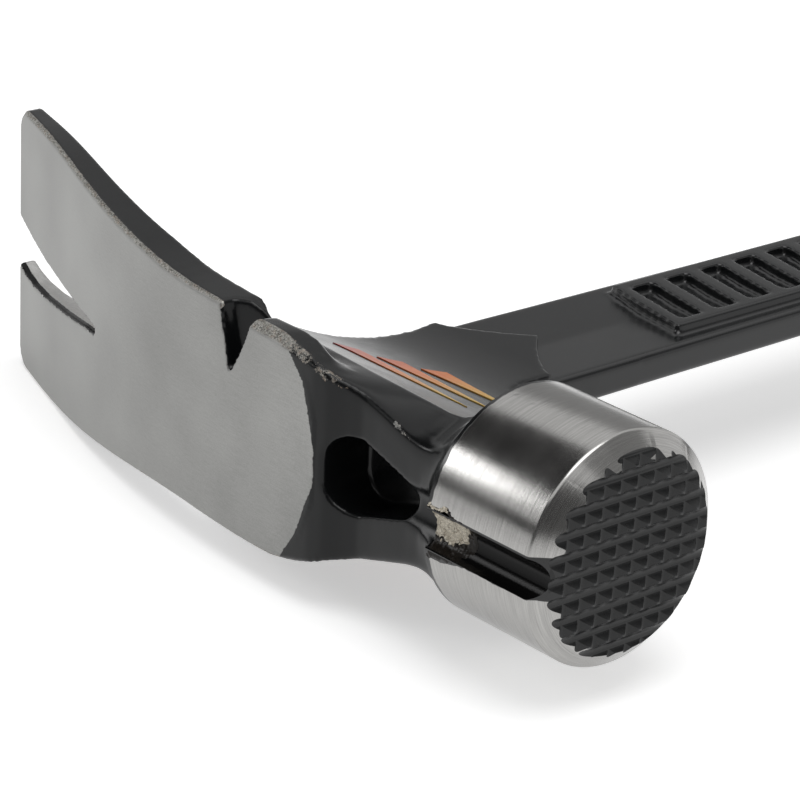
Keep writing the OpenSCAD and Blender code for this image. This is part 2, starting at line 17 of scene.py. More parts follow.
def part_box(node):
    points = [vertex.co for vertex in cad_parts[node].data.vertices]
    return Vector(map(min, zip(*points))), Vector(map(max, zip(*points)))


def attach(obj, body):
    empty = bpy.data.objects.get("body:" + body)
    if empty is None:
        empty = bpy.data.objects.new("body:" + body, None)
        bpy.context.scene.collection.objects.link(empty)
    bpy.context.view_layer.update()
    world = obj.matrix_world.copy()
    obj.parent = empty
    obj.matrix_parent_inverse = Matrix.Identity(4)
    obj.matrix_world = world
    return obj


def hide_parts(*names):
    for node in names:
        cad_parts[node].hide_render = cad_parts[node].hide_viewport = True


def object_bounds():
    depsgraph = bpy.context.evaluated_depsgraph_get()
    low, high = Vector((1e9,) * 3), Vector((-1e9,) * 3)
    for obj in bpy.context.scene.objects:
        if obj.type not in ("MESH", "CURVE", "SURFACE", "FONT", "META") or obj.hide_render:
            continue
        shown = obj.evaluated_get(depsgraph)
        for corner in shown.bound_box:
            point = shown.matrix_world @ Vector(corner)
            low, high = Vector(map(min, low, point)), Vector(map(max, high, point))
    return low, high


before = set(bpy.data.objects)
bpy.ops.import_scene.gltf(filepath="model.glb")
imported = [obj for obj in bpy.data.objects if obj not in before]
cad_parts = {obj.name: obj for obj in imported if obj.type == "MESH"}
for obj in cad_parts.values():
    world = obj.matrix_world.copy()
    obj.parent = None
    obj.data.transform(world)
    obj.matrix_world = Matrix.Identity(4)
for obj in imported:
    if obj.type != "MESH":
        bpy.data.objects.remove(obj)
solid_low, solid_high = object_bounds()
print("solids from", tuple(solid_low), "to", tuple(solid_high))

# %% [markdown]
# ## One place to measure from
#
# A toolmaker measures a hammer from the axis of its poll and the middle of its
# shank, in millimetres. Blender could be given metres everywhere, but small numbers
# with many zeros are easy to get wrong. So every piece is drawn in millimetres from
# the maker's own point, and one matrix takes the finished mesh to its place.

# %% Find the poll's axis and the middle of the shank
poll_low, poll_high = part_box("striking_poll")
shank_low, shank_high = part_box("shank")
poll_radius = (poll_high.z - poll_low.z) / 2
maker_point = Vector(((shank_low.x + shank_high.x) / 2,
                      poll_high.y - poll_radius,
                      (poll_low.z + poll_high.z) / 2))
MM = 0.001
TO_PLACE = Matrix.Translation(maker_point) @ Matrix.Diagonal((MM, MM, MM, 1))
TO_MAKER = TO_PLACE.inverted()
POLL_R = poll_radius / MM
FACE_X = (TO_MAKER @ poll_high).x
COLLAR_X = (TO_MAKER @ poll_low).x
print("poll radius", round(POLL_R, 2), "face at", round(FACE_X, 2), "collar at", round(COLLAR_X, 2))

# %% [markdown]
# ## Small tools for meshes
#
# A piece is shaped in a bmesh or with modifiers. These helpers copy a solid, turn a
# bmesh into an object, bake its modifiers into its mesh, and hand the finished piece
# over: it is put in its place, shaded smooth up to a chosen angle, and tied to the body.

# %% Helpers for pieces
WELD_GAP = 0.0005


def as_object(bm, name):
    mesh = bpy.data.meshes.new(name)
    bm.to_mesh(mesh)
    bm.free()
    piece = bpy.data.objects.new(name, mesh)
    bpy.context.scene.collection.objects.link(piece)
    return piece


def round_edges(bm, edges, radius, segments):
    bmesh.ops.bevel(bm, geom=edges, offset=radius, offset_type="OFFSET", affect="EDGES",
                    segments=segments, profile=0.5, material=-1)


def bake_modifiers(piece):
    seen = piece.evaluated_get(bpy.context.evaluated_depsgraph_get())
    mesh = bpy.data.meshes.new_from_object(seen)
    piece.modifiers.clear()
    piece.data = mesh


def hand_over(piece, materials, nodes, sharp_angle=None):
    piece.data.transform(TO_PLACE)
    piece.data.shade_smooth()
    if sharp_angle:
        piece.data.set_sharp_from_angle(angle=math.radians(sharp_angle))
    for material in materials:
        piece.data.materials.append(material)
    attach(piece, "root")
    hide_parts(*nodes)
    print(piece.name, len(piece.data.polygons), "faces")


def copy_of_node(name):
    bm = bmesh.new()
    bm.from_mesh(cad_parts[name].data)
    bmesh.ops.transform(bm, matrix=TO_MAKER, verts=bm.verts)
    bmesh.ops.remove_doubles(bm, verts=bm.verts, dist=WELD_GAP)
    return as_object(bm, name + "_copy")


# %% [markdown]
# ## Small tools for materials
#
# Every finish here is a small network of nodes around one Principled shader. One
# function adds a node with its settings and links, and short ones name the kinds that
# come back often. Colours are written as sRGB hex values, as in a paint chart, and
# turned to linear light. All patterns are placed by the same millimetres as the
# meshes, so a noise of scale 5 has grains of about 0.2 mm.

# %% Helpers for materials
def linear(hex_colour):
    parts = [int(hex_colour[i:i + 2], 16) / 255 for i in (1, 3, 5)]
    light = [p / 12.92 if p <= 0.04045 else ((p + 0.055) / 1.055) ** 2.4 for p in parts]
    return (*light, 1.0)


def add(tree, kind, feeds=None, **settings):
    node = tree.nodes.new("ShaderNode" + kind)
    for name, value in settings.items():
        setattr(node, name, value)
    for socket, value in (feeds or {}).items():
        if isinstance(value, bpy.types.NodeSocket):
            tree.links.new(value, node.inputs[socket])
        else:
            node.inputs[socket].default_value = value
    return node


def start_material(name):
    material = bpy.data.materials.new(name)
    material.use_nodes = True
    tree = material.node_tree
    shader = tree.nodes["Principled BSDF"]
    place = add(tree, "TexCoord")
    spot = add(tree, "Mapping", {"Vector": place.outputs["Object"],
                                 "Location": -maker_point / MM,
                                 "Scale": (1 / MM, 1 / MM, 1 / MM)})
    return material, tree, shader, spot.outputs["Vector"]


def join(tree, source, shader, socket):
    tree.links.new(source, shader.inputs[socket])


# Sockets of the Mix node when it mixes colours
MIX_A, MIX_B, MIX_RESULT = 6, 7, 2


def grain_of(tree, spot, scale, detail=2.0, roughness=0.5):
    return add(tree, "TexNoise", {"Vector": spot, "Scale": scale, "Detail": detail,
                                  "Roughness": roughness}).outputs["Fac"]


def combine(tree, operation, *values):
    return add(tree, "Math", dict(enumerate(values)), operation=operation).outputs[0]


def remap(tree, value, start, stop, low=0.0, high=1.0):
    return add(tree, "MapRange", {"Value": value, "From Min": start, "From Max": stop,
                                  "To Min": low, "To Max": high}).outputs["Result"]


def blend(tree, share, first, second):
    return add(tree, "Mix", {0: share, 2: first, 3: second}).outputs[0]


def blend_colours(tree, share, first, second):
    return add(tree, "Mix", {0: share, MIX_A: first, MIX_B: second},
               data_type="RGBA").outputs[MIX_RESULT]


def shaded(tree, colour, shade):
    return add(tree, "VectorMath", {0: colour, "Scale": shade}, operation="SCALE").outputs["Vector"]


def add_relief(tree, shader, height, strength, depth):
    bump = add(tree, "Bump", {"Height": height, "Strength": strength, "Distance": depth * MM})
    join(tree, bump.outputs["Normal"], shader, "Normal")


# %% [markdown]
# ## Ground steel and black enamel on the head
#
# The head was dipped in semi-gloss enamel while it was still a rough forging, and
# the crown was then ground flat. So one material holds both finishes, and a value
# stored on each vertex says how far it lies inside the ground area, in millimetres.
# A little noise is added to that distance, which makes the wavy paint line. The
# enamel also chips where an edge sticks out, and another stored value marks that.
# That value also paints a highlight: a streak of bare-steel flecks along the ridge
# near the collar stands for the light caught there.

# %% Material of the forged head
def forged_finish(name, steel_hex, enamel_hex, gloss):
    material, tree, shader, spot = start_material(name)
    shader.inputs["Specular IOR Level"].default_value = gloss
    inside, chips_and_glint, rim = (add(tree, "Attribute", attribute_name=stored).outputs["Fac"]
                            for stored in ("ground", "chips_and_glint", "rim"))

    # Paint line: it wanders by less than 0.1 mm over a length of 0.8 mm
    offset = remap(tree, grain_of(tree, spot, 1.2, 3.0), 0, 1, -0.16, 0.16)
    ground = remap(tree, combine(tree, "ADD", inside, offset), -0.03, 0.05)

    # Chips: flecks of 0.2 mm in patches of 1 mm, most of them where an edge sticks out. The same flecks
    # paint a highlight streak of bare steel along the ridge near the collar.
    fleck = blend(tree, 0.45, grain_of(tree, spot, 4.6, 5.0, 0.75), grain_of(tree, spot, 1.1, 3.0))
    chip_and_glint_flecks = remap(tree, combine(tree, "ADD", fleck, chips_and_glint), 1.03, 1.08)
    bare = combine(tree, "MAXIMUM", ground, chip_and_glint_flecks)

    # Ground steel: the belt leaves scratches 0.1 mm wide, and slow clouds 20 mm wide
    stretch = add(tree, "Mapping", {"Vector": spot, "Scale": (0.5, 2.0, 9.0)}).outputs["Vector"]
    marks = combine(tree, "ADD", grain_of(tree, stretch, 1.0, 4.0), grain_of(tree, spot, 5.0))
    clouded = combine(tree, "MULTIPLY_ADD", grain_of(tree, spot, 0.045), 1.2, marks)
    steel = shaded(tree, linear(steel_hex)[:3], remap(tree, clouded, 1.2, 2.0, 0.8, 1.2))

    # The struck rims are coarser: rust and dark scale lie between bright specks
    rim_shade = remap(tree, grain_of(tree, spot, 3.4, 6.0, 0.8), 0.38, 0.6, 0.12, 1.25)
    rust = remap(tree, fleck, 0.5, 0.62, 0, 0.6)
    scale = blend_colours(tree, rust, linear("#a8a7a2"), linear("#8a6f58"))
    steel = blend_colours(tree, rim, steel, shaded(tree, scale, rim_shade))

    # Enamel: it ran as it dried, so its shade and gloss vary slowly
    flow = grain_of(tree, spot, 0.16)
    enamel = shaded(tree, linear(enamel_hex)[:3], remap(tree, flow, 0, 1, 0.8, 1.2))
    join(tree, blend_colours(tree, bare, enamel, steel), shader, "Base Color")
    join(tree, bare, shader, "Metallic")
    enamel_rough = remap(tree, flow, 0, 1, 0.14, 0.3)
    steel_rough = blend(tree, rim, remap(tree, marks, 0.7, 1.3, 0.36, 0.5), 0.62)
    join(tree, blend(tree, bare, enamel_rough, steel_rough), shader, "Roughness")

    # Orange peel in the enamel, scratches in the steel and a step at the paint line
    height = blend(tree, bare, grain_of(tree, spot, 0.9), marks)
    add_relief(tree, shader, combine(tree, "MULTIPLY_ADD", bare, -1.5, height), 0.25, 0.03)
    return material


head_finish = forged_finish("ground_forging_and_enamel", "#8d8d8b", "#0d0e0f", 0.25)
# The slot gets a copy with painted light and painted shade. Its filed steel is lighter than the crown's
# and stands for the bright reflection on the slot's wall, and its enamel is darker and barely glossy,
# which paints the shade in the slot.
slot_lit_and_shaded_finish = forged_finish("filed_slot_painted_light_and_shade", "#c9c8c6", "#070708", 0.08)
print("made", head_finish.name, slot_lit_and_shaded_finish.name)

# %% [markdown]
# ## The forged head and claw
#
# The solids of the claw and the head meet in a flat joint, but the real ones are one
# forging with soft edges. A bevel on every edge could give that, yet the surfaces
# cross in too many ways for it. It is simpler to do what the forge does: join the
# two solids, cover them with one even skin of 0.4 mm squares, and relax that skin.
# The skin is a little uneven, so the claw is then trued as with a file. Each of its
# points is moved to the nearest of the claw's flat, bent or bevelled faces.

# %% Sizes of the crown and claw
CROWN_Y = -16.7
BEND_START = 8.0
BEND_R = 220.0
BEND_STOP = math.radians(19)
CLAW_TIP_X = -91.3
CLAW_ROOT_T, CLAW_TIP_T, THIN_START = 6.6, 3.2, -35.0
CLAW_ROOT_HALF_W, CLAW_TIP_HALF_W = 17.8, 23.0
FLARE_START, FLARE_STOP = -17.0, -80.5
CORNER_R = 4.0

# The bevel round the crown is wide beside the notch only
THIN_BEVEL, WIDE_BEVEL = 0.6, 1.5
WIDE_START, WIDE_STOP, WIDE_FADE = -6.0, 4.0, 9.0
BACK_BEVEL, SLOT_BEVEL, SLOT_BACK_BEVEL = 0.4, 0.3, 0.4

# The nail slot's two sides, as distance along and distance across. It was ground by
# hand, a little away from the claw's middle.
SLOT_NEAR = [(-91.3, 3.79), (-87.7, 2.95), (-83.3, 1.96), (-76.5, 0.84), (-66.3, -0.01),
             (-56.1, -0.57), (-51.9, -0.96)]
SLOT_FAR = [(-91.3, -4.81), (-87.7, -5.48), (-83.3, -5.78), (-76.5, -5.44), (-66.3, -4.13),
            (-56.1, -2.55), (-51.9, -2.16)]
SLOT_ROOT_X, SLOT_ROOT_Z, SLOT_ROOT_R = -51.9, -1.56, 0.6

# Half width of the crown along the neck
NECK_EDGE = [(-2.3, 17.8), (3.8, 17.6), (6.6, 17.1), (9.4, 16.4), (12.0, 15.6), (17.3, 14.0),
             (22.7, 12.1), (26.7, 10.7), (38.0, 8.7)]

# The paint line crosses the crown here, as distance across and distance along
PAINT_LINE = [(-18.0, 5.3), (-14.7, 7.5), (-11.5, 9.6), (-6.2, 11.5), (-1.8, 13.5),
              (0.2, 13.4), (7.1, 11.6), (12.2, 9.9), (15.7, 6.8), (18.0, 4.6)]


def between(points, at):
    at = min(max(at, points[0][0]), points[-1][0])
    right = next(i for i in range(1, len(points)) if points[i][0] >= at)
    (a0, b0), (a1, b1) = points[right - 1], points[right]
    return b0 + (b1 - b0) * (at - a0) / (a1 - a0)


def crown_at(x):
    along = min(max(BEND_START - x, 0.0), BEND_R * math.sin(BEND_STOP))
    straight = max(BEND_START - BEND_R * math.sin(BEND_STOP) - x, 0.0)
    return CROWN_Y + BEND_R - math.sqrt(BEND_R ** 2 - along ** 2) + math.tan(BEND_STOP) * straight


def half_width_at(x):
    if x > NECK_EDGE[0][0]:
        return between(NECK_EDGE, x)
    share = min(max((FLARE_START - x) / (FLARE_START - FLARE_STOP), 0.0), 1.0)
    flare = CLAW_TIP_HALF_W - CLAW_ROOT_HALF_W
    return CLAW_ROOT_HALF_W + flare * share * share * (3 - 2 * share)


def rim_bevel_at(x, z):
    if x < WIDE_START or z < 0:
        return THIN_BEVEL
    share = min(max((x - WIDE_STOP) / WIDE_FADE, 0.0), 1.0)
    return WIDE_BEVEL - (WIDE_BEVEL - THIN_BEVEL) * share


# %% Faces of the claw: each gives the depth below it and the way out of it
def crown_face(x, y):
    centre_y = CROWN_Y + BEND_R
    angle = min(max(math.atan2(BEND_START - x, centre_y - y), 0.0), BEND_STOP)
    out = Vector((-math.sin(angle), -math.cos(angle), 0.0))
    return BEND_R - (x - BEND_START) * out.x - (y - centre_y) * out.y, out


def outline_face(x, z):
    side = math.copysign(1.0, z)
    corner = Vector((CLAW_TIP_X + CORNER_R, CLAW_TIP_HALF_W - CORNER_R))
    if x < corner.x and abs(z) > corner.y:
        reach = Vector((x, abs(z))) - corner
        way = reach.normalized()
        return CORNER_R - reach.length, Vector((way.x, 0.0, way.y * side))
    if x - CLAW_TIP_X < half_width_at(x) - abs(z):
        return x - CLAW_TIP_X, Vector((-1.0, 0.0, 0.0))
    return half_width_at(x) - abs(z), Vector((0.0, 0.0, side))


def slot_face(x, z):
    if x > SLOT_ROOT_X:
        reach = Vector((x - SLOT_ROOT_X, z - SLOT_ROOT_Z))
        way = reach.normalized()
        return reach.length - SLOT_ROOT_R, Vector((-way.x, 0.0, -way.y))
    near, far = between(SLOT_NEAR, x), between(SLOT_FAR, x)
    if z > (near + far) / 2:
        return z - near, Vector((0.0, 0.0, -1.0))
    return far - z, Vector((0.0, 0.0, 1.0))


def bevel_face(first, second, width):
    return (first[0] + second[0] - width) / math.sqrt(2), (first[1] + second[1]).normalized()


def claw_faces(x, y, z):
    crown = crown_face(x, y)
    foot_x = x + crown[0] * crown[1].x
    thin = min(max((THIN_START - foot_x) / (THIN_START - CLAW_TIP_X), 0.0), 1.0)
    back = (CLAW_ROOT_T + (CLAW_TIP_T - CLAW_ROOT_T) * thin - crown[0], -crown[1])
    outline = outline_face(x, z)
    slot = slot_face(x, z)
    return [crown, back, outline, slot,
            bevel_face(crown, outline, rim_bevel_at(x, z)), bevel_face(back, outline, BACK_BEVEL),
            bevel_face(crown, slot, SLOT_BEVEL), bevel_face(back, slot, SLOT_BACK_BEVEL)]


# %% Join the two solids and cover them with an even skin
SKIN_GRAIN, SKIN_ROUNDS = 0.4, 4


def relax(bm, verts, rounds):
    for _ in range(rounds):
        bmesh.ops.smooth_vert(bm, verts=verts, factor=0.5,
                              use_axis_x=True, use_axis_y=True, use_axis_z=True)


def even_skin(piece, grain, rounds):
    remesh = piece.modifiers.new("even skin", "REMESH")
    remesh.mode = "VOXEL"
    remesh.voxel_size = grain
    bake_modifiers(piece)
    bm = bmesh.new()
    bm.from_mesh(piece.data)
    relax(bm, bm.verts, rounds)
    bm.normal_update()
    return bm


head = copy_of_node("head_body")
claw_copy = copy_of_node("claw")
weld = head.modifiers.new("weld", "BOOLEAN")
weld.operation = "UNION"
weld.solver = "EXACT"
weld.object = claw_copy
bake_modifiers(head)
bpy.data.objects.remove(claw_copy)
skin = even_skin(head, SKIN_GRAIN, SKIN_ROUNDS)
print("skin of", len(skin.faces), "squares")

# %% Round the ridge that runs from the crown to the collar
RIDGE_START, RIDGE_STOP, RIDGE_BELOW = 14.0, 35.0, -6.0
RIDGE_BAND, RIDGE_ROUNDS = 2.2, 14
RIDGE_DROP = [(-2.3, -16.7), (9.4, -16.7), (12.0, -16.6), (14.6, -16.1), (17.3, -14.8),
              (19.9, -13.9), (22.7, -13.8), (38.0, -13.8)]


def ridge_gap(vert):
    x, y, z = vert.co
    return math.hypot(y - between(RIDGE_DROP, x), abs(z) - half_width_at(x))


ridge_verts = [v for v in skin.verts if RIDGE_START < v.co.x < RIDGE_STOP
               and v.co.y < RIDGE_BELOW and ridge_gap(v) < RIDGE_BAND]
relax(skin, ridge_verts, RIDGE_ROUNDS)
print("rounded", len(ridge_verts), "points of the ridge")

# %% True the claw and grind the crown flat
# All of the claw is trued up to the first place, its sides up to the notch, and its
# back edge up to the ear
TRUED_X, NOTCH_X, EAR_X = -26.0, -11.0, -8.0
SIDE_DEPTH, SIDE_BAND = 4.0, 0.3
EAR_BAND, EAR_BEVEL = 2.0, 0.5

# The belt reaches this deep and this far past the paint line, and the rim's bevel
# ends beside the neck
GRIND_DEPTH, GRIND_PAST_LINE, FACING_OUT = 0.22, 1.0, -0.4
BEVEL_STOP_X, BEVEL_DEPTH = 13.0, 2.0

for vert in skin.verts:
    x, y, z = vert.co
    depth = y - crown_at(x)
    across = half_width_at(x) - abs(z)
    if x < TRUED_X:
        inside, way_out = min(claw_faces(x, y, z), key=lambda face: face[0])
        vert.co += way_out * inside
        continue
    if x < NOTCH_X and depth < SIDE_DEPTH and abs(across) < SIDE_BAND:
        vert.co.z += math.copysign(across, z)
        across = 0.0
    if x < EAR_X and across < EAR_BAND:
        crown_depth, way_out = crown_face(x, y)
        side = (across, Vector((0.0, 0.0, math.copysign(1.0, z))))
        edge, way_out = bevel_face((CLAW_ROOT_T - crown_depth, -way_out), side, EAR_BEVEL)
        vert.co += way_out * min(edge, 0.0)
    on_belt = depth < GRIND_DEPTH and x < between(PAINT_LINE, z) + GRIND_PAST_LINE
    if on_belt and vert.normal.y < FACING_OUT:
        vert.co.y = crown_at(x)
        depth = 0.0
    short = rim_bevel_at(x, z) - across - depth
    if short > 0 and x < BEVEL_STOP_X and depth < BEVEL_DEPTH:
        vert.co.y += short / 2
        vert.co.z -= math.copysign(short / 2, z)
skin.normal_update()
print("crown ground at", CROWN_Y, "mm")

# %% Store where the steel is bare and where edges stick out
RIDGE_WEAR = [(-2.3, 0.68), (5.0, 0.68), (7.5, 0.56), (9.5, 0.58), (11.5, 0.48), (13.5, 0.56),
              (16.0, 0.5), (20.0, 0.3), (38.0, 0.0)]

# Down to where the steel of the rim and crown is bare, and from where the slot's is
RIM_BAND, RIM_STOP_X = 0.3, 6.0
RIM_BARE, CROWN_BARE = 0.1, 0.12
SLOT_EDGE, SLOT_COAT = 0.2, 1.2
SLOT_BAND, SLOT_PAST_ROOT = 0.25, 1.5

# A point that sticks out by this much is fully exposed to knocks
FULL_BULGE, KNOCKS = 0.035, 0.34
# Painted highlight: between these places on the ridge near the collar, bare-steel flecks stand in for a
# streak of light along it
GLINT_STREAK_START, GLINT_STREAK_MIDDLE, GLINT_STREAK_STOP = 18.0, 26.0, 32.0
GLINT_STREAK_Z, GLINT_STREAK_Y, GLINT_STREAK_BULGE = 7.0, -8.0, 0.45
WEAR_START_X, LEAST_WEAR = -3.0, 0.2


def in_slot(spot):
    return spot.x < SLOT_ROOT_X + SLOT_PAST_ROOT and slot_face(spot.x, spot.z)[0] < SLOT_BAND


def bulge_at(vert):
    near = sum((e.other_vert(vert).co for e in vert.link_edges), Vector()) / len(vert.link_edges)
    return max(0.0, (vert.co - near).dot(vert.normal)) / FULL_BULGE


ground = skin.verts.layers.float.new("ground")
chips_and_glint = skin.verts.layers.float.new("chips_and_glint")
rim = skin.verts.layers.float.new("rim")
for vert in skin.verts:
    x, y, z = vert.co
    depth = y - crown_at(x)
    across = half_width_at(x) - abs(z)
    bevel = rim_bevel_at(x, z)
    on_rim = across < bevel + RIM_BAND and x < RIM_STOP_X
    limit = bevel + RIM_BARE if on_rim else CROWN_BARE
    inside = min(limit - depth, between(PAINT_LINE, z) - x)
    if in_slot(vert.co) and depth > SLOT_EDGE:
        inside = depth - SLOT_COAT
    vert[ground] = inside
    vert[rim] = 1.0 if on_rim and depth > RIM_BARE else 0.0
    bulge = bulge_at(vert)
    vert[chips_and_glint] = min(bulge, 1.0) * KNOCKS
    # Painted highlight: bare-steel flecks and coarse rim colour along the ridge near the collar stand for
    # the streak of light on it
    on_painted_glint = GLINT_STREAK_START < x < GLINT_STREAK_STOP and z > GLINT_STREAK_Z and y < GLINT_STREAK_Y
    if on_painted_glint and bulge > GLINT_STREAK_BULGE:
        fade = abs(x - GLINT_STREAK_MIDDLE) / (GLINT_STREAK_STOP - GLINT_STREAK_MIDDLE)
        vert[chips_and_glint] = 0.62 - 0.3 * fade
        vert[rim] = 0.4
    if x > WEAR_START_X and z > 0:
        worn = between(RIDGE_WEAR, x) * min(max(1.9 - 0.8 * ridge_gap(vert), 0.0), 1.0)
        if worn > LEAST_WEAR:
            vert[chips_and_glint] = worn
            vert[rim] = 1.0 if vert[ground] < 0 or depth > RIM_BARE else 0.0
# Faces in the slot take that copy: painted light on its steel, painted shade in its enamel
for face in skin.faces:
    face.material_index = 1 if in_slot(face.calc_center_median()) else 0
skin.to_mesh(head.data)
skin.free()
head.name = "forged_head"
hand_over(head, [head_finish, slot_lit_and_shaded_finish], ["claw", "head_body"])

# %% [markdown]
# ## Turned steel, milled enamel and the starter's groove
#
# The poll is turned and ground after dipping, so its side is bright and carries fine
# rings round its axis. The milled face and the groove keep their black coat. They
# are separate materials here, because their borders are the cut edges themselves. The groove's
# copy is near-black with little gloss, which paints the shade inside the groove.
# Grooves that run round a cylinder show as changes along its axis, so the noise is
# stretched the other way.

# %% Material of the turned poll
# Where the enamel stops past the collar, how soft that line is, and where the black
# at the groove's lips narrows
COLLAR_LINE = (0.1, 1.0)
PAINT_BLUR = 0.1
LIP_ALONG, LIP_SPREAD, LIP_UPPER = (41.0, 46.0), (4.2, 3.1), (3.25, 3.35)


def turned_steel(name):
    material, tree, shader, spot = start_material(name)
    rings = add(tree, "Mapping", {"Vector": spot, "Scale": (7.0, 0.12, 0.12)}).outputs["Vector"]
    fine = grain_of(tree, rings, 1.0, 5.0, 0.7)
    steel = shaded(tree, linear("#9f9e9c")[:3], remap(tree, fine, 0.3, 0.7, 0.78, 1.2))

    # The enamel of the neck stops in a wavy line on the collar
    place = add(tree, "SeparateXYZ", {"Vector": spot})
    along = place.outputs["X"]
    wander = grain_of(tree, spot, 0.5, 4.0)
    line = remap(tree, wander, 0, 1, COLLAR_X + COLLAR_LINE[0], COLLAR_X + COLLAR_LINE[1])
    start = remap(tree, combine(tree, "SUBTRACT", along, line), -0.05, 0.1)

    # The black of the milled face also laps over its rim
    edge = combine(tree, "MULTIPLY_ADD", wander, 0.6, along)
    stop = remap(tree, edge, FACE_X + PAINT_BLUR, FACE_X)
    bare = combine(tree, "MINIMUM", start, stop)

    # Resin and enamel spread over the groove's lips, most of all beside the magnet
    spread = remap(tree, along, *LIP_ALONG, *LIP_SPREAD)
    lip = combine(tree, "MULTIPLY_ADD", wander, 0.8, spread)
    lower = remap(tree, combine(tree, "ADD", place.outputs["Z"], lip), 0.5, 0.4)
    upper = remap(tree, place.outputs["Z"], *LIP_UPPER)
    away = combine(tree, "MAXIMUM", lower, upper)
    away = combine(tree, "MAXIMUM", away, remap(tree, place.outputs["Y"], 0, 1))
    bare = combine(tree, "MINIMUM", bare, away)
    join(tree, blend_colours(tree, bare, linear("#0f1011"), steel), shader, "Base Color")
    join(tree, bare, shader, "Metallic")
    patches = grain_of(tree, spot, 0.22, 3.0)
    join(tree, remap(tree, patches, 0, 1, 0.14, 0.26), shader, "Roughness")

    # Wear: pits 0.3 mm wide over the rings, and a few dents 1 mm wide
    pits = grain_of(tree, spot, 3.5, 3.0, 0.7)
    cells = add(tree, "TexVoronoi", {"Vector": spot, "Scale": 0.22}).outputs["Distance"]
    relief = combine(tree, "MULTIPLY_ADD", pits, 0.7, fine)
    relief = combine(tree, "MULTIPLY_ADD", remap(tree, cells, 0.06, 0.12), 2.0, relief)
    add_relief(tree, shader, relief, 0.35, 0.02)
    return material


# The pyramids' tips turn a lighter grey between these two heights over the face: partly worn enamel,
# partly a painted highlight where the tips catch light
TIP_SHEEN_AND_WEAR = (-0.05, 0.15)


def milled_enamel(name, base_hex, tip_sheen_and_wear_hex, roughness, gloss):
    material, tree, shader, spot = start_material(name)
    shader.inputs["Specular IOR Level"].default_value = gloss
    along = add(tree, "SeparateXYZ", {"Vector": spot}).outputs["X"]
    grain = grain_of(tree, spot, 3.0, 4.0)
    # Lighter tips: worn enamel and a painted highlight
    high = combine(tree, "MULTIPLY_ADD", grain, 0.25, along)
    worn = remap(tree, high, FACE_X + TIP_SHEEN_AND_WEAR[0], FACE_X + TIP_SHEEN_AND_WEAR[1])
    join(tree, blend_colours(tree, worn, linear(base_hex), linear(tip_sheen_and_wear_hex)), shader, "Base Color")
    join(tree, remap(tree, grain, 0, 1, roughness - 0.08, roughness + 0.08), shader, "Roughness")
    add_relief(tree, shader, grain, 0.3, 0.03)
    return material


poll_steel = turned_steel("turned_steel")
face_enamel = milled_enamel("milled_face_enamel", "#0b0c0d", "#2c2d2f", 0.3, 0.4)
# The groove's enamel has little gloss: painted shade, its weak reflection stands for the dark its walls
# would reflect
groove_shaded_enamel = milled_enamel("groove_shaded_enamel", "#090909", "#090909", 0.16, 0.1)
print("made", poll_steel.name, face_enamel.name, groove_shaded_enamel.name)

# %% [markdown]
# ## The poll
#
# A poll is turned on a lathe, so its outline is spun round the axis in 360 fine
# steps. The face is then milled as in the workshop: one set of parallel valleys is
# cut along the shank and a second set across it, which leaves the pyramids. The
# cutters are bars with rounded lower edges, and each set is one Boolean cutter.

# %% Spin the poll's outline
CHAMFER_LENGTH, CHAMFER_DROP, SHOULDER_ROUND = 3.3, 3.7, 0.3
POLL_CHAMFER_X = FACE_X - CHAMFER_LENGTH
FACE_R = POLL_R - CHAMFER_DROP
SAME_PLACE = 0.001


def spun(outline, steps):
    bm = bmesh.new()
    line = [bm.verts.new((x, r, 0)) for x, r in outline]
    for first, second in zip(line, line[1:]):
        bm.edges.new((first, second))
    bmesh.ops.spin(bm, geom=bm.verts[:] + bm.edges[:], cent=(0, 0, 0), axis=(1, 0, 0),
                   angle=math.tau, steps=steps, use_merge=True)
    bmesh.ops.remove_doubles(bm, verts=bm.verts, dist=WELD_GAP)
    bmesh.ops.holes_fill(bm, edges=bm.edges, sides=0)
    bmesh.ops.recalc_face_normals(bm, faces=bm.faces)
    return bm


poll_bm = spun([(COLLAR_X, POLL_R), (POLL_CHAMFER_X, POLL_R), (FACE_X, FACE_R)], 360)
shoulder = [e for e in poll_bm.edges
            if all(abs(v.co.x - POLL_CHAMFER_X) < SAME_PLACE for v in e.verts)]
round_edges(poll_bm, shoulder, SHOULDER_ROUND, 4)
poll = as_object(poll_bm, "milled_poll")
poll.data.materials.append(poll_steel)
print("turned", len(poll.data.polygons), "faces")

# %% Mill the face and cut the groove
MILL_PITCH = 3.175
MILL_SHIFT = 0.32 * MILL_PITCH
BARS_EACH_WAY = 7
CUT_OVER, CUT_PAST = 0.6, 1.0
FIRST_VALLEYS = {"depth": 1.25, "floor_w": 0.5, "tip_w": 0.4, "rounding": 0.24}
SECOND_VALLEYS = {"depth": 1.4, "floor_w": 1.3, "tip_w": 0.3, "rounding": 0.6}


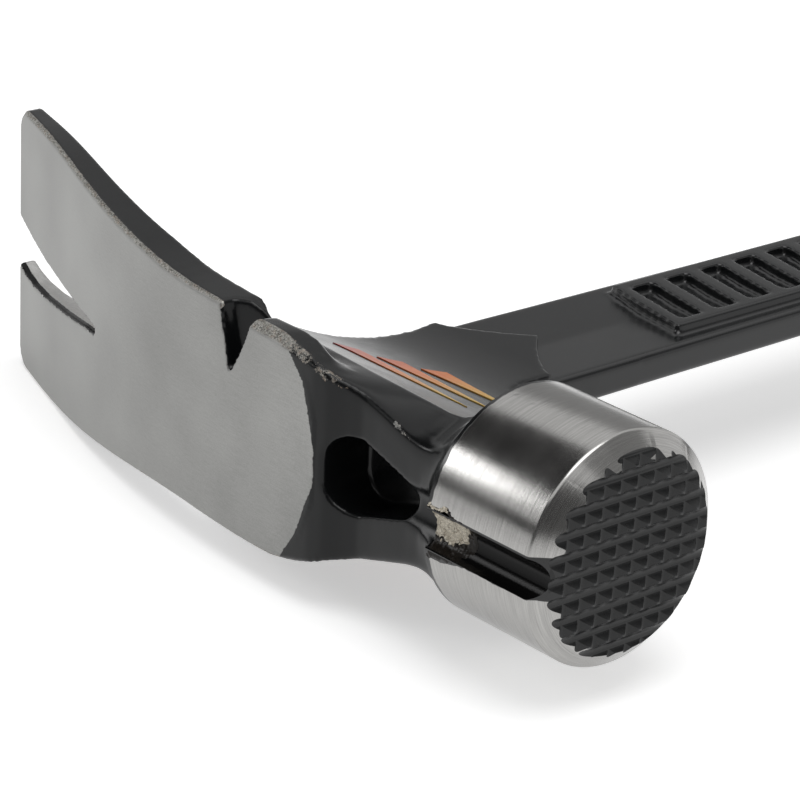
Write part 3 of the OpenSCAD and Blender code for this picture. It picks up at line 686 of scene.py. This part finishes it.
def milling_bars(turn, shift, depth, floor_w, tip_w, rounding):
    bm = bmesh.new()
    top = (MILL_PITCH - tip_w) / 2
    slope = (top - floor_w / 2) / depth
    outer = top + slope * CUT_OVER
    corners = [(FACE_X - depth, -floor_w / 2), (FACE_X - depth, floor_w / 2),
               (FACE_X + CUT_OVER, outer), (FACE_X + CUT_OVER, -outer)]
    for i in range(-BARS_EACH_WAY, BARS_EACH_WAY):
        one = bmesh.new()
        face = one.faces.new([one.verts.new((x, y, -POLL_R - CUT_PAST)) for x, y in corners])
        made = bmesh.ops.extrude_face_region(one, geom=[face])["geom"]
        bmesh.ops.translate(one, vec=(0, 0, 2 * (POLL_R + CUT_PAST)),
                            verts=[v for v in made if isinstance(v, bmesh.types.BMVert)])
        low = [e for e in one.edges
               if all(abs(v.co.x - FACE_X + depth) < SAME_PLACE for v in e.verts)
               and abs(e.verts[0].co.z - e.verts[1].co.z) > POLL_R]
        round_edges(one, low, rounding, 4)
        bmesh.ops.translate(one, vec=(0, (i + 0.5) * MILL_PITCH + shift, 0), verts=one.verts)
        bmesh.ops.rotate(one, cent=(0, 0, 0), matrix=Matrix.Rotation(turn, 3, "X"), verts=one.verts)
        bmesh.ops.recalc_face_normals(one, faces=one.faces)
        part = bpy.data.meshes.new("bar")
        one.to_mesh(part)
        one.free()
        bm.from_mesh(part)
        bpy.data.meshes.remove(part)
    return bm


def cut(piece, bm, material):
    cutter = as_object(bm, "cutter")
    cutter.data.materials.append(material)
    boolean = piece.modifiers.new("cut", "BOOLEAN")
    boolean.operation = "DIFFERENCE"
    boolean.solver = "EXACT"
    boolean.material_mode = "TRANSFER"
    boolean.object = cutter
    bake_modifiers(piece)
    bpy.data.objects.remove(cutter)


cut(poll, milling_bars(0.0, -MILL_SHIFT, **FIRST_VALLEYS), face_enamel)
cut(poll, milling_bars(math.pi / 2, MILL_SHIFT, **SECOND_VALLEYS), face_enamel)
print("milled", len(poll.data.polygons), "faces")

# %% Cut the groove, which runs out on the chamfer, and the magnet's bed
GROOVE_R, GROOVE_DEPTH = 3.1, 2.6
GROOVE_BEFORE, GROOVE_AFTER = 2.0, 0.5
GROOVE_FLOOR = GROOVE_DEPTH - POLL_R
GROOVE_START, GROOVE_END = COLLAR_X - GROOVE_BEFORE, FACE_X + GROOVE_AFTER
MAGNET_FROM_COLLAR, MAGNET_LENGTH = 0.6, 6.4
MAGNET_Z, MAGNET_W, MAGNET_BED = 1.0, 4.0, 3.0
MAGNET_X = COLLAR_X + MAGNET_FROM_COLLAR


def groove_cutter():
    bm = bmesh.new()
    turn = Matrix.Rotation(math.pi / 2, 4, "Y")
    place = Matrix.Translation(((GROOVE_START + GROOVE_END) / 2, GROOVE_FLOOR - GROOVE_R, 0))
    bmesh.ops.create_cone(bm, cap_ends=True, segments=96, radius1=GROOVE_R, radius2=GROOVE_R,
                          depth=GROOVE_END - GROOVE_START, matrix=place @ turn)
    return bm


def box_cutter(low, high):
    bm = bmesh.new()
    size = Vector(high) - Vector(low)
    place = Matrix.Translation((Vector(high) + Vector(low)) / 2)
    bmesh.ops.create_cube(bm, size=1, matrix=place @ Matrix.Diagonal((*size, 1)))
    return bm


cut(poll, groove_cutter(), groove_shaded_enamel)
bed_low = (MAGNET_X, -POLL_R - CUT_PAST, MAGNET_Z - MAGNET_W / 2)
bed_high = (MAGNET_X + MAGNET_LENGTH, GROOVE_FLOOR + MAGNET_BED, MAGNET_Z + MAGNET_W / 2)
cut(poll, box_cutter(bed_low, bed_high), groove_shaded_enamel)
hand_over(poll, [], ["striking_poll"], sharp_angle=32)

# %% [markdown]
# ## The shank
#
# The shank is drop forged and enamelled, and nothing on it is ground. Its solid has
# the shallow valley and the raised frame with bars, so it only needs soft edges, and
# the same even skin gives them. The finish is the head's too, with a stored distance
# that keeps all of the shank far outside the ground area.

# %% Copy the shank and soften it
SHANK_GRAIN, SHANK_ROUNDS, FAR_OUTSIDE = 0.45, 3, -5.0

shank_finish = forged_finish("shank_enamel", "#8a8a88", "#121314", 0.4)
shank = copy_of_node("shank")
shank_skin = even_skin(shank, SHANK_GRAIN, SHANK_ROUNDS)
for name in ("ground", "chips_and_glint", "rim"):
    shank_skin.verts.layers.float.new(name)
ground = shank_skin.verts.layers.float["ground"]
for vert in shank_skin.verts:
    vert[ground] = FAR_OUTSIDE
shank_skin.to_mesh(shank.data)
shank_skin.free()
shank.name = "forged_shank"
hand_over(shank, [shank_finish], ["shank"])

# %% [markdown]
# ## Magnet and resin
#
# A small block magnet is set in dark resin in the groove, and its face is a chalky,
# crackled coat with bits of grit on it. A block is not enough, so the magnet's top is
# a fine grid whose points are moved by noise, and a cell pattern draws the crackle.

# %% Materials of the magnet and the resin
def crackled_coat(name):
    material, tree, shader, spot = start_material(name)
    cells = add(tree, "TexVoronoi", {"Vector": spot, "Scale": 2.2}, feature="DISTANCE_TO_EDGE")
    crack = remap(tree, cells.outputs["Distance"], 0, 0.06)
    dust = grain_of(tree, spot, 1.6, 6.0, 0.75)
    coat = blend_colours(tree, remap(tree, dust, 0.35, 0.6), linear("#a69c8a"), linear("#ddd6c7"))
    join(tree, blend_colours(tree, crack, linear("#5a5246"), coat), shader, "Base Color")
    shader.inputs["Roughness"].default_value = 0.75
    add_relief(tree, shader, combine(tree, "ADD", crack, dust), 0.5, 0.1)
    return material


def set_resin(name):
    material, tree, shader, spot = start_material(name)
    cloud = grain_of(tree, spot, 1.3, 4.0)
    join(tree, blend_colours(tree, cloud, linear("#0a0908"), linear("#26211c")), shader, "Base Color")
    shader.inputs["Roughness"].default_value = 0.22
    shader.inputs["Specular IOR Level"].default_value = 0.15
    add_relief(tree, shader, cloud, 0.5, 0.1)
    return material


magnet_coat = crackled_coat("crackled_magnet_coat")
resin = set_resin("set_resin")
print("made", magnet_coat.name, resin.name)

# %% Magnet and resin as lumpy blocks
BLOCK_ROUND, BLOCK_CUTS = 0.25, 12


def lumpy_block(node, name, lift, grain):
    low, high = (TO_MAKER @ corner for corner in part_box(node))
    bm = box_cutter(low, high)
    round_edges(bm, bm.edges[:], BLOCK_ROUND, 2)
    bmesh.ops.subdivide_edges(bm, edges=bm.edges[:], cuts=BLOCK_CUTS, use_grid_fill=True)
    for vert in bm.verts:
        share = max(0.0, 1 - (vert.co.y - low.y) / (high.y - low.y))
        bump = noise.fractal(vert.co * grain, 1.0, 2.0, 3)
        vert.co.y -= lift * share * (0.5 + bump)
    return as_object(bm, name)


# The coat and the resin have run over the block, so each ends in a ragged patch
COAT_EDGE = [(37.6, -1.6), (37.6, 3.4), (41.4, 4.2), (45.6, 2.2), (44.6, -1.0), (41.0, -2.0)]
RESIN_EDGE = [(37.9, 3.4), (42.5, 4.1), (46.6, 2.6), (46.0, -1.5), (43.5, -3.4), (38.2, -4.4)]
PATCH_GRID, PATCH_COLUMNS, PATCH_ROWS, PATCH_X = 0.16, 64, 60, 42.0
RAGGED, SWELL_BAND = 0.7, 0.7

# No patch stands higher than the lips of the groove in the solids
BELOW_LIPS = 0.005
CROWN_SIDE_LIMIT = BELOW_LIPS - math.sqrt(POLL_R ** 2 - GROOVE_R ** 2)


def poll_surface_y(z):
    side = -math.sqrt(POLL_R ** 2 - z * z)
    if abs(z) >= GROOVE_R:
        return side
    return max(side, GROOVE_FLOOR - GROOVE_R + math.sqrt(GROOVE_R ** 2 - z * z))


def depth_inside(outline, x, z):
    gaps = []
    for (x0, z0), (x1, z1) in zip(outline, outline[1:] + outline[:1]):
        side = Vector((x1 - x0, z1 - z0)).normalized()
        gaps.append((x - x0) * side.y - (z - z0) * side.x)
    return min(gaps)


def patch(outline, name, thickness, grain):
    bm = bmesh.new()
    place = Matrix.Translation((PATCH_X, 0, 0)) @ Matrix.Rotation(math.pi / 2, 4, "X")
    spread = Matrix.Diagonal((PATCH_COLUMNS * PATCH_GRID, PATCH_ROWS * PATCH_GRID, 1, 1))
    bmesh.ops.create_grid(bm, x_segments=PATCH_COLUMNS, y_segments=PATCH_ROWS, size=0.5,
                          matrix=place @ spread)
    for vert in bm.verts:
        ragged = RAGGED * noise.fractal(vert.co * 0.9, 1.0, 2.0, 4)
        inside = depth_inside(outline, vert.co.x, vert.co.z) + ragged
        swell = min(max(inside / SWELL_BAND, -0.3), 1.0)
        lump = 1 + 0.5 * noise.fractal(vert.co * grain, 1.0, 2.0, 4)
        vert.co.y = max(poll_surface_y(vert.co.z) - thickness * swell * lump, CROWN_SIDE_LIMIT)
    outside = [v for v in bm.verts if v.co.y > poll_surface_y(v.co.z) + 0.05 * thickness
               or v.co.x < COLLAR_X]
    bmesh.ops.delete(bm, geom=outside, context="VERTS")
    patch_mesh = bpy.data.meshes.new(name)
    bm.to_mesh(patch_mesh)
    bm.free()
    return patch_mesh


def block_with_patch(node, name, lift, grain, outline, thickness):
    block = lumpy_block(node, name, lift, grain)
    run = patch(outline, name + "_patch", thickness, 2 * grain)
    both = bmesh.new()
    both.from_mesh(block.data)
    both.from_mesh(run)
    both.to_mesh(block.data)
    both.free()
    bpy.data.meshes.remove(run)
    return block


resin_bed = block_with_patch("magnet_adhesive", "resin_bed", 0.1, 1.1, RESIN_EDGE, 0.16)
hand_over(resin_bed, [resin], ["magnet_adhesive"])
magnet = block_with_patch("starter_magnet", "coated_magnet", 0.12, 0.9, COAT_EDGE, 0.3)
hand_over(magnet, [magnet_coat], ["starter_magnet"])

# %% [markdown]
# ## The grip
#
# The grip is moulded rubber over a nylon core. Its section is a rounded oval that
# changes all along, so it starts as one circle that is pushed out to that oval. The
# ring is then extruded again and again, and each time scaled to the next width and
# thickness. Twelve grooves round the palm swell are rings that are scaled in. The
# butt is closed by insetting its last face.

# %% Rubber and nylon
def moulded_rubber(name):
    material, tree, shader, spot = start_material(name)
    pebble = add(tree, "TexVoronoi", {"Vector": spot, "Scale": 1.5}, feature="SMOOTH_F1")
    dust = grain_of(tree, spot, 0.15, 5.0)
    join(tree, blend_colours(tree, dust, linear("#1a1b1d"), linear("#2b2c2e")), shader, "Base Color")
    join(tree, remap(tree, dust, 0, 1, 0.5, 0.72), shader, "Roughness")
    add_relief(tree, shader, pebble.outputs["Distance"], 0.4, 0.1)
    return material


def grained_solid(name, hex_colour, metallic):
    material, tree, shader, spot = start_material(name)
    grain = grain_of(tree, spot, 2.5, 5.0)
    colour = shaded(tree, linear(hex_colour)[:3], remap(tree, grain, 0, 1, 0.85, 1.15))
    join(tree, colour, shader, "Base Color")
    shader.inputs["Metallic"].default_value = metallic
    shader.inputs["Roughness"].default_value = 0.5
    add_relief(tree, shader, grain, 0.3, 0.05)
    return material


def dress_solid(node, material):
    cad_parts[node].data.materials.clear()
    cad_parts[node].data.materials.append(material)


rubber = moulded_rubber("moulded_rubber")
nylon = grained_solid("moulded_nylon", "#4b4c50", 0.0)
tang_steel = grained_solid("scaled_tang_steel", "#5d5e60", 1.0)
dress_solid("grip_core", nylon)
dress_solid("tang", tang_steel)
print("made", rubber.name, nylon.name, tang_steel.name)

# %% Draw the grip's rings
grip_low, grip_high = (TO_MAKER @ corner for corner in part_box("grip_sleeve"))
GRIP_START, GRIP_LENGTH = grip_low.y, grip_high.y - grip_low.y
GRIP_W, GRIP_T = 36.0, 27.0
RIB_COUNT, RIB_W, RIB_DEPTH = 12, 1.8, 1.1
RIB_FIRST, RIB_SPAN = 0.30, 0.44
OVAL_POWER, OVAL_POINTS, RING_COUNT, CAP_INSET = 0.8, 80, 300, 2.6

# Share of the length, of the width and of the thickness, and the shift in widths
GRIP_SHARES = [(0.000, 0.86, 0.82, 0.00), (0.030, 0.92, 0.88, 0.00), (0.070, 0.90, 0.86, 0.00),
               (0.130, 0.83, 0.82, 0.00), (0.220, 0.84, 0.86, 0.00), (0.340, 0.92, 0.94, 0.00),
               (0.460, 0.99, 1.00, 0.00), (0.560, 1.00, 1.00, 0.00), (0.680, 0.95, 0.96, 0.00),
               (0.780, 0.90, 0.92, 0.01), (0.860, 0.94, 0.94, 0.03), (0.930, 1.07, 1.02, 0.06),
               (0.970, 1.12, 1.06, 0.07), (0.990, 1.08, 1.02, 0.07), (1.000, 0.98, 0.92, 0.07)]


def grip_row(share):
    above = next(i for i in range(1, len(GRIP_SHARES)) if GRIP_SHARES[i][0] >= share)
    a, b = GRIP_SHARES[above - 1], GRIP_SHARES[above]
    part = (share - a[0]) / (b[0] - a[0])
    return [p + (q - p) * part for p, q in zip(a, b)]


def rib_inset(share):
    for i in range(RIB_COUNT):
        middle = RIB_FIRST + RIB_SPAN * i / (RIB_COUNT - 1)
        away = abs(share - middle) * GRIP_LENGTH / (RIB_W / 2)
        if away < 1:
            return RIB_DEPTH * math.cos(away * math.pi / 2) ** 0.5
    return 0.0


def next_ring(bm, edges, y, before, after):
    made = bmesh.ops.extrude_edge_only(bm, edges=edges)["geom"]
    verts = [g for g in made if isinstance(g, bmesh.types.BMVert)]
    bmesh.ops.translate(bm, verts=verts, vec=(after[2] - before[2], y - verts[0].co.y, 0))
    bmesh.ops.scale(bm, verts=verts, vec=(after[0] / before[0], 1, after[1] / before[1]),
                    space=Matrix.Translation((-after[2], 0, 0)))
    picked = set(verts)
    return [e for e in bm.edges if e.verts[0] in picked and e.verts[1] in picked]


grip_bm = bmesh.new()
bmesh.ops.create_circle(grip_bm, segments=OVAL_POINTS, radius=1,
                        matrix=Matrix.Rotation(math.pi / 2, 4, "X"))
first = grip_row(0.0)
now = (first[1] * GRIP_W / 2, first[2] * GRIP_T / 2, first[3] * GRIP_W)
for vert in grip_bm.verts:
    vert.co.x = math.copysign(abs(vert.co.x) ** OVAL_POWER, vert.co.x) * now[0] + now[2]
    vert.co.z = math.copysign(abs(vert.co.z) ** OVAL_POWER, vert.co.z) * now[1]
    vert.co.y = GRIP_START
ring = grip_bm.edges[:]
for step in range(1, RING_COUNT + 1):
    share = step / RING_COUNT
    row = grip_row(share)
    inset = rib_inset(share)
    after = (row[1] * GRIP_W / 2 - inset, row[2] * GRIP_T / 2 - inset, row[3] * GRIP_W)
    ring = next_ring(grip_bm, ring, GRIP_START + share * GRIP_LENGTH, now, after)
    now = after
print("grip rings", RING_COUNT)

# %% Close the grip's two ends
bmesh.ops.holes_fill(grip_bm, edges=grip_bm.edges, sides=0)
caps = [f for f in grip_bm.faces if len(f.verts) > 4]
for cap in caps:
    bmesh.ops.inset_individual(grip_bm, faces=[cap], thickness=CAP_INSET)
bmesh.ops.recalc_face_normals(grip_bm, faces=grip_bm.faces)
grip = as_object(grip_bm, "rubber_grip")
hand_over(grip, [rubber], ["grip_sleeve"], sharp_angle=50)

# %% [markdown]
# ## Stripes on the cheeks
#
# The cheeks carry a printed film. Here it is three plain tapering stripes, whose
# solids already follow the hollow of the cheek. The print runs from red at its blunt
# end to ochre at its point, so its colour only needs the distance along the poll.

# %% Material of the film
FILM_LENGTH = 22.0


def printed_film(name):
    material, tree, shader, spot = start_material(name)
    along = add(tree, "SeparateXYZ", {"Vector": spot}).outputs["X"]
    wander = grain_of(tree, spot, 0.5)
    shifted = combine(tree, "MULTIPLY_ADD", wander, 6.0, along)
    ramp = add(tree, "ValToRGB", {"Fac": remap(tree, shifted, 0, FILM_LENGTH)})
    ramp.color_ramp.elements[0].color = linear("#9c2a1e")
    ramp.color_ramp.elements[1].color = linear("#c6a14c")
    ramp.color_ramp.elements.new(0.5).color = linear("#c66a2a")
    join(tree, ramp.outputs["Color"], shader, "Base Color")
    shader.inputs["Roughness"].default_value = 0.35
    add_relief(tree, shader, wander, 0.2, 0.03)
    return material


film = printed_film("printed_film")
dress_solid("notch_side_stripes", film)
dress_solid("plain_side_stripes", film)
print("film on both cheeks")

# %% [markdown]
# ## Floor and light
#
# The hammer lies in a white tent, as for a catalogue. The floor is pale and keeps the
# soft shadow. The world is white to the camera, to reflections and through glass, and
# dimmer for the rest, so that colours come out as they are written.

# %% Lay the floor
WHITE = (1, 1, 1, 1)
DIM_LIGHT = 0.45
FLOOR_HALF_W = 3.0


def seen_rays(tree):
    path = add(tree, "LightPath")
    seen = combine(tree, "MAXIMUM", path.outputs["Is Camera Ray"], path.outputs["Is Glossy Ray"])
    return combine(tree, "MAXIMUM", seen, path.outputs["Is Transmission Ray"])


def paper_floor(name):
    material, tree, shader, spot = start_material(name)
    shader.inputs["Base Color"].default_value = linear("#f2f2f2")
    shader.inputs["Roughness"].default_value = 0.9
    shader.inputs["Emission Color"].default_value = WHITE
    glow = combine(tree, "MULTIPLY", seen_rays(tree), DIM_LIGHT)
    join(tree, glow, shader, "Emission Strength")
    return material


floor_bm = bmesh.new()
bmesh.ops.create_grid(floor_bm, x_segments=4, y_segments=4, size=FLOOR_HALF_W)
bmesh.ops.translate(floor_bm, verts=floor_bm.verts, vec=(0, 0, solid_low.z))
floor = as_object(floor_bm, "floor")
floor.data.materials.append(paper_floor("paper_floor"))
print("floor at", solid_low.z)

# %% Light the tent
world = bpy.data.worlds.new("tent")
bpy.context.scene.world = world
world.use_nodes = True
tent = world.node_tree
tent.nodes.clear()
strength = remap(tent, seen_rays(tent), 0, 1, DIM_LIGHT, 1)
sky = add(tent, "Background", {"Color": WHITE, "Strength": strength})
add(tent, "OutputWorld", {"Surface": sky.outputs["Background"]})


def soft_lamp(name, spot, aim, size, power):
    lamp = bpy.data.lights.new(name, "AREA")
    lamp.shape = "DISK"
    lamp.size = size
    lamp.energy = power
    holder = bpy.data.objects.new(name, lamp)
    bpy.context.scene.collection.objects.link(holder)
    holder.location = spot
    holder.rotation_euler = (Vector(aim) - Vector(spot)).to_track_quat("-Z", "Y").to_euler()
    return holder


HEAD_SPOT = (0.03, -0.18, 0.03)
soft_lamp("key_lamp", (-0.625, -0.76, 0.5), HEAD_SPOT, 0.28, 0.82)
soft_lamp("top_lamp", (0.25, -0.25, 1.0), HEAD_SPOT, 0.8, 4.5)
print("tent and two lamps")

# %% [markdown]
# ## Grey panels
#
# Polished steel and gloss enamel look flat in an all white tent, so a photographer
# hangs grey panels outside the picture, and their dark reflections draw the form.
# These panels are seen by reflections alone, so they cast no shadow and leave the
# colours as they are.

# %% Hang the panels
def grey_panel(name, spot, width, height, level):
    bm = bmesh.new()
    turn = (Vector(HEAD_SPOT) - Vector(spot)).to_track_quat("Z", "Y").to_matrix().to_4x4()
    bmesh.ops.create_grid(bm, x_segments=1, y_segments=1, size=0.5,
                          matrix=Matrix.Translation(spot) @ turn @ Matrix.Diagonal((width, height, 1, 1)))
    panel = as_object(bm, name)
    material = bpy.data.materials.new(name)
    material.use_nodes = True
    card = material.node_tree
    card.nodes.clear()
    glow = add(card, "Emission", {"Color": (level, level, level, 1), "Strength": 1.0})
    add(card, "OutputMaterial", {"Surface": glow.outputs["Emission"]})
    panel.data.materials.append(material)
    panel.visible_camera = False
    panel.visible_diffuse = False
    panel.visible_shadow = False
    panel.visible_transmission = False


grey_panel("back_panel", (-0.75, 0.60, 0.42), 1.3, 0.7, 0.4)
grey_panel("roof_panel", (-0.55, -0.475, 0.78), 0.85, 0.6, 0.04)
grey_panel("low_panel", (-0.62, -0.85, 0.242), 0.9, 0.16, 0.02)
grey_panel("front_panel", (0.10, -1.15, 0.42), 0.9, 0.7, 0.12)
grey_panel("camera_panel", (0.95, -0.85, 0.48), 1.3, 0.8, 0.12)
grey_panel("right_panel", (0.65, 0.30, 0.72), 1.0, 0.8, 0.35)
print("six grey panels")

# %% [markdown]
# ## The camera
#
# The photograph was taken with a long lens from beyond the striking face, on the
# crown side and a little above. The camera was fitted to measured points of the
# head, which gives its place, its three directions and its focal length.

# %% Set up the camera
camera_data = bpy.data.cameras.new("camera")
camera_data.sensor_width = 36.0
camera_data.lens = 146.26
camera_data.clip_end = 20
camera = bpy.data.objects.new("camera", camera_data)
bpy.context.scene.collection.objects.link(camera)
CAMERA_SPOT = Vector((0.35255, -0.47908, 0.20780))
CAMERA_RIGHT = Vector((0.6541, 0.7549, 0.0478)).normalized()
CAMERA_BACK = Vector((0.6879, -0.6199, 0.3774)).normalized()
CAMERA_UP = CAMERA_BACK.cross(CAMERA_RIGHT).normalized()
CAMERA_RIGHT = CAMERA_UP.cross(CAMERA_BACK)
turned = Matrix((CAMERA_RIGHT, CAMERA_UP, CAMERA_BACK)).transposed().to_4x4()
camera.matrix_world = Matrix.Translation(CAMERA_SPOT) @ turned
bpy.context.scene.camera = camera
bpy.context.scene.view_settings.view_transform = "Standard"
print("camera at", tuple(CAMERA_SPOT))
